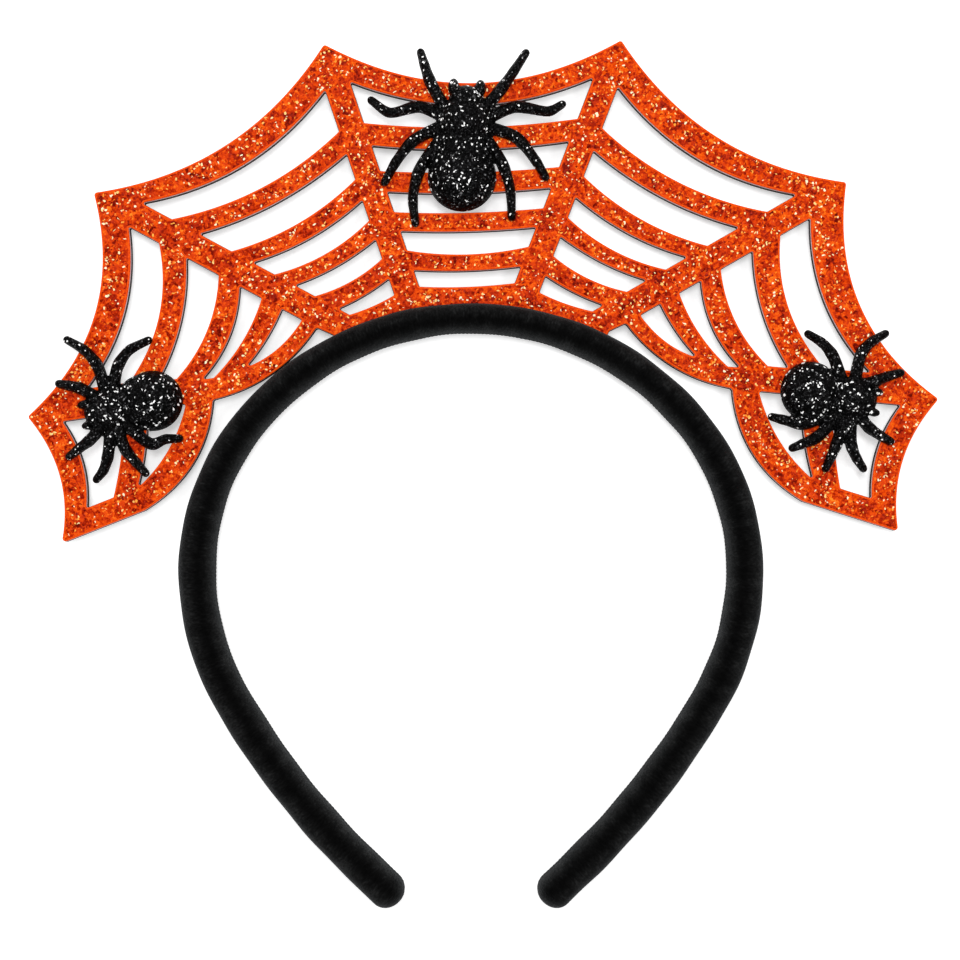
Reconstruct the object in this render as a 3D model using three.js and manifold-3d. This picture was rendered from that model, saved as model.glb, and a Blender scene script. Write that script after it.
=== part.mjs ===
// A headband that wears a pierced spider web: a padded velvet band, a glitter web on a felt backing
// whose lower edge is let into the band's crown, and three moulded spiders on the web.
// Millimetres. The origin is under the middle of the crown, on the flat back of the band.
// +Y points up from the crown, +X to the right and +Z out of the front. The back rests on z = 0.

import * as THREE from "three";
import { mergeVertices } from "three/addons/utils/BufferGeometryUtils.js";
import Module from "manifold-3d";

const wasm = await Module();
wasm.setup();

// Band: lengths in millimetres, sweeps in degrees
const crownRadius = 71.5;
const crownSweep = 50;
const shoulderRadius = 58.6;
const shoulderSweep = 42;
const sideRadius = 64.5;
const sideSweep = 28;
const legRadius = 190;
const legSweep = 16;
const footLength = 13.1;
const crownThickness = 7.5;
const sideThickness = 8.8;
const bandDepth = 12;

// Web: its reach beside and above the crown, its sheets, and how it sits in the band
const webHalfSpan = 113.9;
const webRise = 68.9;
const webLean = 0.8;
const spokeWidth = 6.6;
const railWidth = 5.9;
const tipRound = 1.1;
const faceThickness = 1.2;
const backingThickness = 1.8;
const backingMargin = 0.15;
const letIn = 3;
const tongueHalfAngle = 27;
const tongueShoulder = 0.8;

// Spiders: their bodies' lengths, and leg sizes that the three share
const centreSpiderLength = 31.5;
const rightSpiderLength = 24.3;
const leftSpiderLength = 25;
const legRootWidth = 3.2;
const legTipWidth = 2.1;
const legHeight = 2.1;

// Clearances: round the web in its slot, and between pieces that are glued face to face
const slotClearance = 0.3;
const glueGap = 0.3;

// How far a cutter stands out of each side of what it cuts
const cutterReach = 1;

// Facets
const sectionSides = 16;
const sheetCurveSteps = 6;
const domeSides = 16;
const domeSteps = 4;
const legSteps = 6;
const weldDistance = 0.01;
const sameCorner = 1e-4;

const velvet = new THREE.MeshStandardMaterial({ color: 0x101012, roughness: 0.95, metalness: 0 });
const felt = new THREE.MeshStandardMaterial({ color: 0x16120f, roughness: 0.95, metalness: 0 });
const orangeGlitter = new THREE.MeshStandardMaterial({ color: 0xe0480a, roughness: 0.4, metalness: 0.3 });
const blackGlitter = new THREE.MeshStandardMaterial({ color: 0x0c0c0e, roughness: 0.35, metalness: 0.2 });

const radians = THREE.MathUtils.degToRad;

// Arcs of the band's centre line, from the crown down one side
const bandArcs = [
  { radius: crownRadius, sweep: crownSweep, steps: 9 },
  { radius: shoulderRadius, sweep: shoulderSweep, steps: 6 },
  { radius: sideRadius, sweep: sideSweep, steps: 5 },
  { radius: legRadius, sweep: legSweep, steps: 4 },
];

// The band's section is an oval whose lowest part is cut off level: how far down from its middle the
// cut lies, as a share of its half height, and how square the oval is
const backCut = 0.82;
const ovalPower = 0.87;

// The rounded end of a leg: each ring's angle round the end, in degrees
const endRings = [28, 52, 72, 84];

// Where a gap of the web starts and ends, as shares of a spoke from its tip. more has halfWidth where
// the spoke has a half width of its own there, and skew, a share by which the gap lies farther in on the
// right and farther out on the left.
const ring = (outer, inner, more = {}) => ({ outer, inner, ...more });

// Spokes of one half of the web, clockwise on the right. tip: shares of the half span and of the rise.
// foot: angle from the crown's middle, where the spoke's line meets the band's centre line. tipSkew and
// footSkew: how much farther right both tips and both feet lie. above and below: half widths, as shares
// of the spoke's width. rings: the gaps along the spoke. tipLift: how much higher the right tip lies and
// how much lower the left one, as a share of the rise.
const crownSpoke = {
  tip: [0.326, 1],
  tipSkew: 0.012,
  foot: 9.6,
  footSkew: -1,
  width: spokeWidth,
  above: 0.47,
  below: 0.515,
  rings: [ring(0.148, 0.296), ring(0.376, 0.468), ring(0.542, 0.615), ring(0.683, 0.752), ring(0.823, 0.882)],
};
const shoulderSpoke = {
  tip: [0.826, 0.473],
  tipSkew: 0.002,
  foot: 21.5,
  footSkew: 0,
  width: spokeWidth,
  above: 0.515,
  below: 0.5,
  rings: [
    ring(0.154, 0.265, { skew: 0.003 }),
    ring(0.366, 0.485, { skew: 0.004 }),
    ring(0.56, 0.641, { skew: 0.002 }),
    ring(0.713, 0.787),
    ring(0.873, 0.914),
  ],
};
const sideSpoke = {
  tip: [1, -0.327],
  tipSkew: 0.024,
  tipLift: 0.009,
  foot: 36.4,
  footSkew: -0.5,
  width: spokeWidth,
  above: 0.636,
  below: 0.364,
  rings: [
    ring(0.229, 0.387, { halfWidth: 0.742, skew: 0.003 }),
    ring(0.496, 0.566, { halfWidth: 0.62, skew: 0.01 }),
    ring(0.656, 0.699, { halfWidth: 0.455, skew: 0.01 }),
    ring(0.809, 0.809, { halfWidth: 0.667, skew: 0.001 }),
  ],
  wingRings: [ring(0.123, 0.352), ring(0.446, 0.587, { skew: 0.011 })],
};
// The wing's lower rail runs between two points of the outline, and its whole width lies above them
const rail = {
  tip: [0.918, -0.797],
  tipSkew: 0.013,
  end: [0.722, -0.682],
  width: railWidth,
  above: 1,
  below: 0,
  rings: [ring(0.38, 0.705, { skew: -0.025 }), ring(0.99, 0.99, { skew: -0.03 })],
};

// How far the edges of each gap hang towards the crown, as shares of their chords: outer, inner
const crownSags = [[0.102, 0.03], [0.031, 0.018], [0.02, 0.017], [0.017, 0.047], [0.023, 0.02]];
const shoulderSags = [[0.096, 0.073], [0.055, 0.064], [0.055, 0.067], [0.043, 0.059], [0.032, 0.03]];
const sideSags = [[0.1, 0.105], [0.068, 0.088], [0.088, 0.06], [0.037, 0.077]];
const wingSags = [[0.086, 0.023], [0.03, 0.074]];

// The same for the outline between the tips, and for the notches between the wing and the band
const outlineSag = { crown: 0.135, shoulder: 0.113, side: 0.148, wing: 0.113, armpit: 0.126, hub: 0.095 };
const armpitShare = 0.681;
const armpitSkew = 0.006;
const hubShare = 0.84;

// Lumps of a spider's body, from head to tail: places and half sizes as shares of the body's length
const bodyLumps = [
  { across: 0, along: 0.17, halfWidth: 0.14, halfLength: 0.12, height: 0.13 },
  { across: -0.106, along: 0.27, halfWidth: 0.044, halfLength: 0.07, height: 0.09 },
  { across: 0.106, along: 0.27, halfWidth: 0.044, halfLength: 0.07, height: 0.09 },
  { across: 0, along: 0, halfWidth: 0.215, halfLength: 0.2, height: 0.175 },
  { across: 0, along: -0.21, halfWidth: 0.225, halfLength: 0.2, height: 0.145 },
];
const tailShare = 0.712;
const abdomenHeightShare = 0.72;

// A leg's section, from its right side over the top: across as shares of the width, up of the height
const legSection = [[0.5, 0], [0.4, 0.65], [0, 1], [-0.4, 0.65], [-0.5, 0]];

// The rounded foot of a leg: how far it reaches on, as a share of the width, and how small its end is
const footReach = 0.33;
const footEnd = 0.5;

// Each spider: its place on the web as shares of the half span and the rise, its turn in degrees, its
// abdomen's radius as a share of its length, and each leg's root, knee, ankle and foot the same way
const spiders = [
  {
    name: "spider_centre",
    at: [-0.007, 0.708],
    turn: -3.9,
    length: centreSpiderLength,
    abdomen: 0.273,
    legs: [
      [[-0.14, 0.06], [-0.29, 0.3], [-0.34, 0.42], [-0.38, 0.53]],
      [[-0.14, 0.02], [-0.37, 0.1], [-0.6, 0.04], [-0.75, 0.13]],
      [[-0.14, -0.02], [-0.4, -0.17], [-0.52, -0.33], [-0.61, -0.51]],
      [[-0.14, -0.08], [-0.34, -0.4], [-0.38, -0.62], [-0.35, -0.82]],
      [[0.12, 0.08], [0.26, 0.26], [0.35, 0.4], [0.45, 0.57]],
      [[0.14, 0.02], [0.39, 0.14], [0.66, 0.12], [0.76, 0.18]],
      [[0.14, -0.02], [0.41, -0.1], [0.57, -0.27], [0.66, -0.4]],
      [[0.14, -0.08], [0.31, -0.31], [0.385, -0.51], [0.41, -0.73]],
    ],
  },
  {
    name: "spider_right",
    at: [0.825, -0.31],
    turn: -100.1,
    length: rightSpiderLength,
    abdomen: 0.31,
    legs: [
      [[-0.12, 0.04], [-0.21, 0.23], [-0.28, 0.35], [-0.34, 0.48]],
      [[-0.12, 0.03], [-0.47, 0.05], [-0.6, 0.13], [-0.71, 0.26]],
      [[-0.12, -0.08], [-0.4, -0.235], [-0.505, -0.35], [-0.58, -0.52]],
      [[0.08, 0.06], [0.26, 0.24], [0.33, 0.38], [0.37, 0.49]],
      [[0.14, 0.04], [0.47, 0.1], [0.59, 0.17], [0.69, 0.26]],
      [[0.14, 0], [0.48, -0.05], [0.61, -0.08], [0.75, -0.12]],
      [[0.12, -0.04], [0.45, -0.26], [0.54, -0.39], [0.6, -0.49]],
      [[0.14, -0.1], [0.34, -0.42], [0.33, -0.63], [0.32, -0.75]],
    ],
  },
  {
    name: "spider_left",
    at: [-0.787, -0.314],
    turn: 101.1,
    length: leftSpiderLength,
    abdomen: 0.304,
    legs: [
      [[-0.1, 0.08], [-0.25, 0.28], [-0.31, 0.4], [-0.37, 0.52]],
      [[-0.12, 0.04], [-0.44, 0.14], [-0.57, 0.21], [-0.65, 0.3]],
      [[-0.12, 0], [-0.41, -0.04], [-0.55, -0.11], [-0.69, -0.19]],
      [[-0.12, -0.06], [-0.42, -0.31], [-0.4, -0.45], [-0.42, -0.59]],
      [[0.1, 0.08], [0.27, 0.27], [0.32, 0.37], [0.36, 0.47]],
      [[0.12, 0.03], [0.46, 0.06], [0.63, 0.15], [0.77, 0.3]],
      [[0.12, -0.02], [0.41, -0.14], [0.54, -0.28], [0.6, -0.49]],
      [[0.1, -0.06], [0.2, -0.22], [0.24, -0.34], [0.22, -0.46]],
    ],
  },
];

// Manifold solid of a closed three.js geometry
function solidOf(geometry) {
  const bare = geometry.clone();
  bare.deleteAttribute("normal");
  bare.deleteAttribute("uv");
  const merged = mergeVertices(bare, sameCorner);
  const vertProperties = new Float32Array(merged.attributes.position.array);
  const triVerts = new Uint32Array(merged.index.array);
  return new wasm.Manifold(new wasm.Mesh({ numProp: 3, vertProperties, triVerts }));
}

// three.js geometry of a manifold solid, with corners closer than weldDistance made one
function geometryOf(solid) {
  const mesh = solid.getMesh();
  const geometry = new THREE.BufferGeometry();
  geometry.setAttribute("position", new THREE.BufferAttribute(mesh.vertProperties, 3));
  geometry.setIndex(new THREE.BufferAttribute(mesh.triVerts, 1));
  const welded = mergeVertices(geometry, weldDistance);
  const corners = Array.from(welded.index.array);
  const faces = [];
  for (let first = 0; first < corners.length; first += 3) {
    const face = corners.slice(first, first + 3);
    if (new Set(face).size === 3) {
      faces.push(...face);
    }
  }
  welded.setIndex(faces);
  return welded;
}

// Closed skin over rings of points. Each ring turns anticlockwise seen from the path's far end.
function loft(rings) {
  const sides = rings[0].length;
  const points = rings.flat();
  const faces = [];
  for (let ring = 0; ring + 1 < rings.length; ring += 1) {
    for (let side = 0; side < sides; side += 1) {
      const next = (side + 1) % sides;
      const near = ring * sides;
      const far = near + sides;
      faces.push(near + side, near + next, far + next, near + side, far + next, far + side);
    }
  }
  for (let side = 1; side + 1 < sides; side += 1) {
    const last = (rings.length - 1) * sides;
    faces.push(0, side + 1, side, last, last + side, last + side + 1);
  }
  const geometry = new THREE.BufferGeometry().setFromPoints(points);
  geometry.setIndex(faces);
  return geometry;
}

// Ring of section points [across, up] set square to a level path at one of its stations
function ringAt(station, section) {
  const across = new THREE.Vector2(-Math.sin(station.heading), Math.cos(station.heading));
  return section.map(([side, up]) => new THREE.Vector3(
    station.x + across.x * side,
    station.y + across.y * side,
    up,
  ));
}

// Stations down the right side of the band, from the crown to the start of its rounded end
function bandSide() {
  const stations = [{ x: 0, y: 0, heading: 0 }];
  for (const arc of bandArcs) {
    for (let step = 0; step < arc.steps; step += 1) {
      const from = stations.at(-1);
      const turn = radians(arc.sweep) / arc.steps;
      const heading = from.heading - turn;
      stations.push({
        x: from.x + arc.radius * (Math.sin(-heading) - Math.sin(-from.heading)),
        y: from.y - arc.radius * (Math.cos(from.heading) - Math.cos(heading)),
        heading,
      });
    }
  }
  return stations;
}

// The band's thickness grows from the crown until the sides run straight down
function thicknessAt(heading) {
  const share = Math.min(1, Math.abs(heading) / radians(90));
  return crownThickness + (sideThickness - crownThickness) * share;
}

// Oval section with a flat back, drawn in by shrink about its middle height
function bandSection(thickness, shrink) {
  const halfHeight = bandDepth / (1 + backCut);
  const middle = halfHeight * backCut;
  const points = [];
  for (let side = 0; side < sectionSides; side += 1) {
    const angle = (2 * Math.PI * (side + 0.5)) / sectionSides;
    const across = Math.sign(Math.cos(angle)) * Math.abs(Math.cos(angle)) ** ovalPower;
    const up = Math.max(-backCut, Math.sign(Math.sin(angle)) * Math.abs(Math.sin(angle)) ** ovalPower);
    points.push([(across * shrink * thickness) / 2, middle + up * shrink * halfHeight]);
  }
  return points;
}

function headbandSolid() {
  const side = bandSide();
  const last = side.at(-1);
  const along = new THREE.Vector2(Math.cos(last.heading), Math.sin(last.heading));
  const reach = (distance) => ({
    x: last.x + along.x * distance,
    y: last.y + along.y * distance,
    heading: last.heading,
  });
  const endRadius = sideThickness / 2;
  const right = side.map((station) => ({ ...station, shrink: 1 }));
  right.push({ ...reach(footLength - endRadius), shrink: 1 });
  for (const degrees of endRings) {
    const distance = footLength - endRadius + endRadius * Math.sin(radians(degrees));
    right.push({ ...reach(distance), shrink: Math.cos(radians(degrees)) });
  }
  const left = right.slice(1).reverse().map(({ x, y, heading, shrink }) => (
    { x: -x, y, heading: -heading, shrink }
  ));
  const rings = [...left, ...right].map((station) => (
    ringAt(station, bandSection(thicknessAt(station.heading), station.shrink))
  ));
  return solidOf(loft(rings));
}

// Point on the web, in polar form about the centre of the crown's arc
function crownPoint(radius, degrees) {
  const angle = radians(degrees);
  return new THREE.Vector2(radius * Math.sin(angle), radius * Math.cos(angle) - crownRadius);
}

// Point of the web given as shares of its half span and its rise
function webPoint([across, up]) {
  return new THREE.Vector2(across * webHalfSpan, up * webRise);
}

// Point of a spoke, with hand 1 on the right and -1 on the left. at: share of the spoke's length from
// its tip. side: above, below or middle, on that edge of the spoke or on its line. halfWidth: instead of
// the spoke's own. margin widens the spoke, and edge moves the point by one margin along it: -1 out, 1 in.
function spokePoint(spoke, hand, { at, side = "middle", halfWidth, margin = 0, edge = 0 }) {
  const tip = webPoint([spoke.tip[0] + hand * spoke.tipSkew, spoke.tip[1] + hand * (spoke.tipLift ?? 0)]);
  const foot = spoke.end
    ? webPoint(spoke.end)
    : crownPoint(crownRadius, spoke.foot + hand * spoke.footSkew);
  const line = foot.sub(tip);
  const along = line.clone().normalize();
  const up = new THREE.Vector2(along.y, -along.x);
  const sign = { above: 1, below: -1, middle: 0 }[side];
  const offset = sign * ((halfWidth ?? spoke[side] ?? 0) * spoke.width + margin);
  const point = tip.addScaledVector(line, at).addScaledVector(along, edge * margin);
  point.addScaledVector(up, offset);
  return new THREE.Vector2(hand * point.x, point.y);
}

// Control point of a curve between two corners that hangs towards the crown
function hangingControl(from, to, sag) {
  const middle = from.clone().add(to).multiplyScalar(0.5);
  const chord = to.clone().sub(from);
  const normal = new THREE.Vector2(-chord.y, chord.x).normalize();
  if (normal.dot(middle) > 0) {
    normal.negate();
  }
  return middle.addScaledVector(normal, 2 * sag * chord.length());
}

// Point a short way from a corner towards another point
function stepFrom(corner, towards, distance) {
  return corner.clone().addScaledVector(towards.clone().sub(corner).normalize(), distance);
}

// Draws a closed loop of corners. Each has at, the sag of the edge that leaves it, and a round.
// A corner with an arc is followed by that arc about the crown's centre.
function drawLoop(path, corners) {
  corners.forEach((corner, index) => {
    const next = corners[(index + 1) % corners.length];
    const control = hangingControl(corner.at, next.at, corner.sag ?? 0);
    const leave = stepFrom(corner.at, control, corner.round ?? 0);
    const arrive = stepFrom(next.at, control, next.round ?? 0);
    if (index === 0) {
      path.moveTo(leave.x, leave.y);
    } else if (corner.round) {
      path.quadraticCurveTo(corner.at.x, corner.at.y, leave.x, leave.y);
    }
    if (corner.arc) {
      const { radius, halfAngle } = corner.arc;
      const end = Math.PI / 2 - radians(halfAngle);
      path.absarc(0, -crownRadius, radius, Math.PI - end, end, true);
      path.lineTo(next.at.x, next.at.y);
    } else if (corner.sag) {
      path.quadraticCurveTo(control.x, control.y, arrive.x, arrive.y);
    } else {
      path.lineTo(arrive.x, arrive.y);
    }
  });
  const first = corners[0];
  if (first.round) {
    const leave = stepFrom(first.at, hangingControl(first.at, corners[1].at, first.sag), first.round);
    path.quadraticCurveTo(first.at.x, first.at.y, leave.x, leave.y);
  }
  return path;
}

// Radius of the web's lower edge, which lies inside the band's crown
const tongueRadius = crownRadius + crownThickness / 2 - letIn;

// Corners down one side of the web's outline, from the crown spoke's tip to the slot in the band
function outlineSide(hand, margin) {
  const tip = (spoke) => spokePoint(spoke, hand, { at: 0, margin, edge: -1 });
  const below = (spoke, at, edge) => spokePoint(spoke, hand, { at, side: "below", margin, edge });
  const surface = crownPoint(crownRadius + crownThickness / 2 + tongueShoulder, hand * tongueHalfAngle);
  return [
    { at: tip(crownSpoke), sag: outlineSag.shoulder, round: tipRound },
    { at: tip(shoulderSpoke), sag: outlineSag.side, round: tipRound },
    { at: tip(sideSpoke), sag: outlineSag.wing, round: tipRound },
    { at: below(rail, 0, -1), sag: 0, round: tipRound },
    { at: below(rail, 1, 1), sag: outlineSag.armpit, round: tipRound },
    { at: below(sideSpoke, armpitShare + hand * armpitSkew, 0), sag: outlineSag.hub },
    { at: below(shoulderSpoke, hubShare, 0), sag: 0 },
    { at: surface, arc: { radius: tongueRadius, halfAngle: tongueHalfAngle } },
  ];
}

// Outline of the web, anticlockwise, a margin wider all round than the spokes and rings say
function webOutline(margin) {
  const left = outlineSide(-1, margin);
  const right = outlineSide(1, margin);
  const upward = right.map(({ at, round }, index) => ({
    at,
    round,
    sag: index > 0 ? right[index - 1].sag : outlineSag.crown,
  }));
  return [...left, ...upward.reverse()];
}

// Corners of a gap between two spokes: its outer pair, then its inner pair. A ring of no width brings
// the gap to a point there.
function gapCorners(first, second, sags, margin) {
  const corner = ({ spoke, hand, side, gap }, end) => {
    const { outer, inner, halfWidth, skew = 0 } = gap;
    const at = [outer, inner][end] + hand * skew;
    const edge = outer === inner ? 0 : 1 - 2 * end;
    return spokePoint(spoke, hand, { at, side, halfWidth, margin, edge });
  };
  const corners = [
    { at: corner(first, 0), sag: sags[0] },
    { at: corner(second, 0), sag: 0 },
    { at: corner(second, 1), sag: sags[1] },
    { at: corner(first, 1), sag: 0 },
  ];
  if (second.gap.outer === second.gap.inner) {
    corners.splice(1, 1);
  }
  return corners;
}

// Corner loops of all the gaps: five over the crown, and eleven on each side
function webGaps(margin) {
  const loops = crownSags.map((sags, row) => {
    const edge = { spoke: crownSpoke, side: "above", gap: crownSpoke.rings[row] };
    return gapCorners({ ...edge, hand: -1 }, { ...edge, hand: 1 }, sags, margin);
  });
  const bays = [
    { upper: crownSpoke, lower: shoulderSpoke, upperRings: crownSpoke.rings, sags: shoulderSags },
    { upper: shoulderSpoke, lower: sideSpoke, upperRings: shoulderSpoke.rings, sags: sideSags },
    { upper: sideSpoke, lower: rail, upperRings: sideSpoke.wingRings, sags: wingSags },
  ];
  for (const hand of [-1, 1]) {
    for (const { upper, lower, upperRings, sags } of bays) {
      sags.forEach((pair, row) => {
        const first = { spoke: upper, hand, side: "below", gap: upperRings[row] };
        const second = { spoke: lower, hand, side: "above", gap: lower.rings[row] };
        loops.push(gapCorners(first, second, pair, margin));
      });
    }
  }
  return loops;
}

// Solid of one outline, standing up from a level base
function prism(shape, base, depth) {
  const geometry = new THREE.ExtrudeGeometry(shape, {
    depth,
    bevelEnabled: false,
    curveSegments: sheetCurveSteps,
  });
  geometry.translate(0, 0, base);
  return geometry;
}

// The web cut from a sheet of one thickness
function webSheet(thickness, margin) {
  const sheet = prism(drawLoop(new THREE.Shape(), webOutline(margin)), 0, thickness);
  const cutters = webGaps(margin).map((loop) => (
    prism(drawLoop(new THREE.Shape(), loop), -cutterReach, thickness + 2 * cutterReach)
  ));
  return cutters.reduce((web, cutter) => web.subtract(solidOf(cutter)), solidOf(sheet));
}

// Where the sheets lie between the band's back and front
const webStack = backingThickness + glueGap + faceThickness;
const backingBack = (bandDepth - webStack) / 2;
const faceBack = backingBack + backingThickness + glueGap;
const faceFront = faceBack + faceThickness;

// The slot that takes the web's lower edge
function slotSolid() {
  const inner = tongueRadius - slotClearance;
  const outer = crownRadius + sideThickness;
  const half = radians(tongueHalfAngle) + (slotClearance + backingMargin) / inner;
  const start = Math.PI / 2 - half;
  const shape = new THREE.Shape();
  shape.absarc(0, -crownRadius, inner, Math.PI - start, start, true);
  shape.absarc(0, -crownRadius, outer, start, Math.PI - start, false);
  shape.closePath();
  const geometry = prism(shape, backingBack - slotClearance, webStack + 2 * slotClearance);
  geometry.rotateZ(radians(webLean));
  return solidOf(geometry);
}

// Half an egg on a flat base, with its widest line at the base
function dome(across, along, halfWidth, halfLength, height) {
  const profile = [new THREE.Vector2(0, 0)];
  for (let step = 0; step <= domeSteps; step += 1) {
    const angle = (Math.PI / 2) * (step / domeSteps);
    profile.push(new THREE.Vector2(step === domeSteps ? 0 : Math.cos(angle), Math.sin(angle)));
  }
  const geometry = new THREE.LatheGeometry(profile, domeSides);
  geometry.rotateX(Math.PI / 2);
  geometry.scale(halfWidth, halfLength, height);
  geometry.translate(across, along, 0);
  return solidOf(geometry);
}

// Leg with a flat underside along a smooth curve through its joints, with a rounded foot
function spiderLeg(joints, length) {
  const curve = new THREE.CatmullRomCurve3(
    joints.map(([across, along]) => new THREE.Vector3(across * length, along * length, 0)),
  );
  const rings = [];
  for (let step = 0; step <= legSteps + 1; step += 1) {
    const share = Math.min(1, step / legSteps);
    const point = curve.getPointAt(share);
    const tangent = curve.getTangentAt(share);
    const end = step > legSteps ? 1 : 0;
    const width = THREE.MathUtils.lerp(legRootWidth, legTipWidth, share);
    point.addScaledVector(tangent, end * footReach * width);
    const shrink = end ? footEnd : 1;
    const station = { x: point.x, y: point.y, heading: Math.atan2(tangent.y, tangent.x) };
    rings.push(ringAt(station, legSection.map(([side, up]) => (
      [side * width * shrink, up * legHeight * shrink]
    ))));
  }
  return solidOf(loft(rings));
}

function spiderSolid(spider) {
  const { length, legs } = spider;
  const abdomenRadius = spider.abdomen * length;
  const tail = tailShare * length - abdomenRadius;
  const height = abdomenHeightShare * abdomenRadius;
  const abdomen = dome(0, -tail, abdomenRadius, abdomenRadius, height);
  const lumps = bodyLumps.map((lump) => dome(
    lump.across * length,
    lump.along * length,
    lump.halfWidth * length,
    lump.halfLength * length,
    lump.height * length,
  ));
  const pieces = [...lumps, ...legs.map((joints) => spiderLeg(joints, length))];
  return pieces.reduce((body, piece) => body.add(piece), abdomen);
}

function namedMesh(name, geometry, material) {
  const mesh = new THREE.Mesh(geometry, material);
  mesh.name = name;
  return mesh;
}

const headband = namedMesh("headband", geometryOf(headbandSolid().subtract(slotSolid())), velvet);

const web = new THREE.Group();
web.rotation.z = radians(webLean);

const backing = namedMesh("web_backing", geometryOf(webSheet(backingThickness, backingMargin)), felt);
backing.position.z = backingBack;
web.add(backing);

const face = namedMesh("web_face", geometryOf(webSheet(faceThickness, 0)), orangeGlitter);
face.position.z = faceBack;
web.add(face);

for (const spider of spiders) {
  const mesh = namedMesh(spider.name, geometryOf(spiderSolid(spider)), blackGlitter);
  const seat = webPoint(spider.at);
  mesh.position.set(seat.x, seat.y, faceFront + glueGap);
  mesh.rotation.z = radians(spider.turn);
  web.add(mesh);
}

const spiderWebHeadband = new THREE.Group();
spiderWebHeadband.add(headband, web);

export default spiderWebHeadband;
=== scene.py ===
import logging
import math
from dataclasses import dataclass
from enum import Enum

import bpy
import numpy as np
from mathutils.geometry import delaunay_2d_cdt
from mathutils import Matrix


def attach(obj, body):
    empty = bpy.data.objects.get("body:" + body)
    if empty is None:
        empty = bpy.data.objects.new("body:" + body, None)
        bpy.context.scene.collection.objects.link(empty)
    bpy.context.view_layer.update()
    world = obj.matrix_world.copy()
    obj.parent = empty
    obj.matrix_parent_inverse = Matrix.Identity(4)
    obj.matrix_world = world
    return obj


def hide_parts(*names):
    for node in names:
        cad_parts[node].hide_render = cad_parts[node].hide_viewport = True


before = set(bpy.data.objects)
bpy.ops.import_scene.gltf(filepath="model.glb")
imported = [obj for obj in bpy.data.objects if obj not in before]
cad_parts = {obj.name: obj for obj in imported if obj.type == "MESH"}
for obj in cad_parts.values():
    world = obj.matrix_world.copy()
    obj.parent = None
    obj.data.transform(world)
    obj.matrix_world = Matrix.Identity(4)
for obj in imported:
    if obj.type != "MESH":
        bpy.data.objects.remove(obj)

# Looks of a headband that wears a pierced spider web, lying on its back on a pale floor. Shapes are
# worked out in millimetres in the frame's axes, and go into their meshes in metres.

LOG = logging.getLogger("spider_web_headband")
MM = 0.001
Points = np.ndarray
Socket = bpy.types.NodeSocket
Value = Socket | float | tuple[float, ...]
Stops = tuple[tuple[float, float | tuple[float, float, float]], ...]
Piece = bpy.types.Object
Joints = tuple[tuple[float, float], ...]
Solid = tuple[Points, np.ndarray, np.ndarray]


class Hand(Enum):
    """One half of the web, with the sign of its x."""

    LEFT = -1
    RIGHT = 1


class Edge(Enum):
    """One edge of a spoke, with the sign of its offset from the spoke's line."""

    ABOVE = 1
    BELOW = -1


# Meshes


def new_piece(name: str, points: Points, *faces: np.ndarray) -> Piece:
    """Puts a surface into the scene as an object at the origin.

    Args:
        name: The object's name.
        points: Corners, in millimetres, as an array of n by 3.
        faces: Arrays of corner numbers, one row a face, turning anticlockwise seen from outside.

    Returns:
        The object, smooth shaded.
    """
    mesh = bpy.data.meshes.new(name)
    mesh.from_pydata((points * MM).tolist(), [], [face for part in faces for face in part.tolist()])
    mesh.validate()
    mesh.shade_smooth()
    piece = bpy.data.objects.new(name, mesh)
    bpy.context.scene.collection.objects.link(piece)
    return piece


def set_values(piece: Piece, name: str, values: np.ndarray) -> None:
    """Gives a piece an attribute with one value at each point."""
    layer = piece.data.attributes.new(name, "FLOAT", "POINT")
    layer.data.foreach_set("value", values.astype(np.float32))


def tube(rings: Points, turned: bool = False, ends: list | None = None) -> Solid:
    """Joins a row of closed rings, and closes it with one more point at each end.

    Args:
        rings: The rings' points, rows by columns by 3.
        turned: Whether the faces turn against the rings' own order.
        ends: The two points, or None for the middles of the first and the last ring.

    Returns:
        Points, the rings' and then the ends', quads and triangles.
    """
    rows, columns = rings.shape[:2]
    count, last = rows * columns, (rows - 1) * columns
    here = np.arange(columns)
    after = (here + 1) % columns
    first = np.arange(rows - 1)[:, None] * columns
    quads = np.stack([here + first, after + first, after + first + columns, here + first + columns], axis=-1)
    fans = np.stack([[after, here + last], [here, after + last],
                     np.full((2, columns), [[count], [count + 1]])], axis=-1)
    points = np.concatenate([rings.reshape(-1, 3), rings[[0, -1]].mean(axis=1) if ends is None else ends])
    order = slice(None, None, -1 if turned else 1)
    return points, quads.reshape(-1, 4)[:, order], fans.reshape(-1, 3)[:, order]


def turn(points: Points, degrees: float) -> Points:
    """Points of n by 2 turned anticlockwise about the origin."""
    angle = math.radians(degrees)
    cos, sin = math.cos(angle), math.sin(angle)
    return points @ np.array([[cos, sin], [-sin, cos]])


def unit(vectors: Points) -> Points:
    """Vectors at length one along their last axis."""
    return vectors / np.linalg.norm(vectors, axis=-1, keepdims=True)


def within(points: Points, loops: list[Points]) -> np.ndarray:
    """Tells which points lie in the area between closed loops.

    A point is in the area if a level line from it to the right crosses the loops an odd number of times.

    Args:
        points: Places to test, n by 2.
        loops: The outline and the gaps, each m by 2.

    Returns:
        True or False for each point.
    """
    start = np.vstack(loops)
    end = np.vstack([np.roll(loop, -1, axis=0) for loop in loops])
    slope = (end[:, 0] - start[:, 0]) / np.where(end[:, 1] == start[:, 1], 1e-9, end[:, 1] - start[:, 1])
    parts = []
    for part in np.array_split(points, max(1, len(points) // 2000)):
        x, y = part[:, :1], part[:, 1:]
        spans = (start[:, 1] > y) != (end[:, 1] > y)
        parts.append((spans & (x < start[:, 0] + (y - start[:, 1]) * slope)).sum(axis=1) % 2 == 1)
    return np.concatenate(parts)


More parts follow.
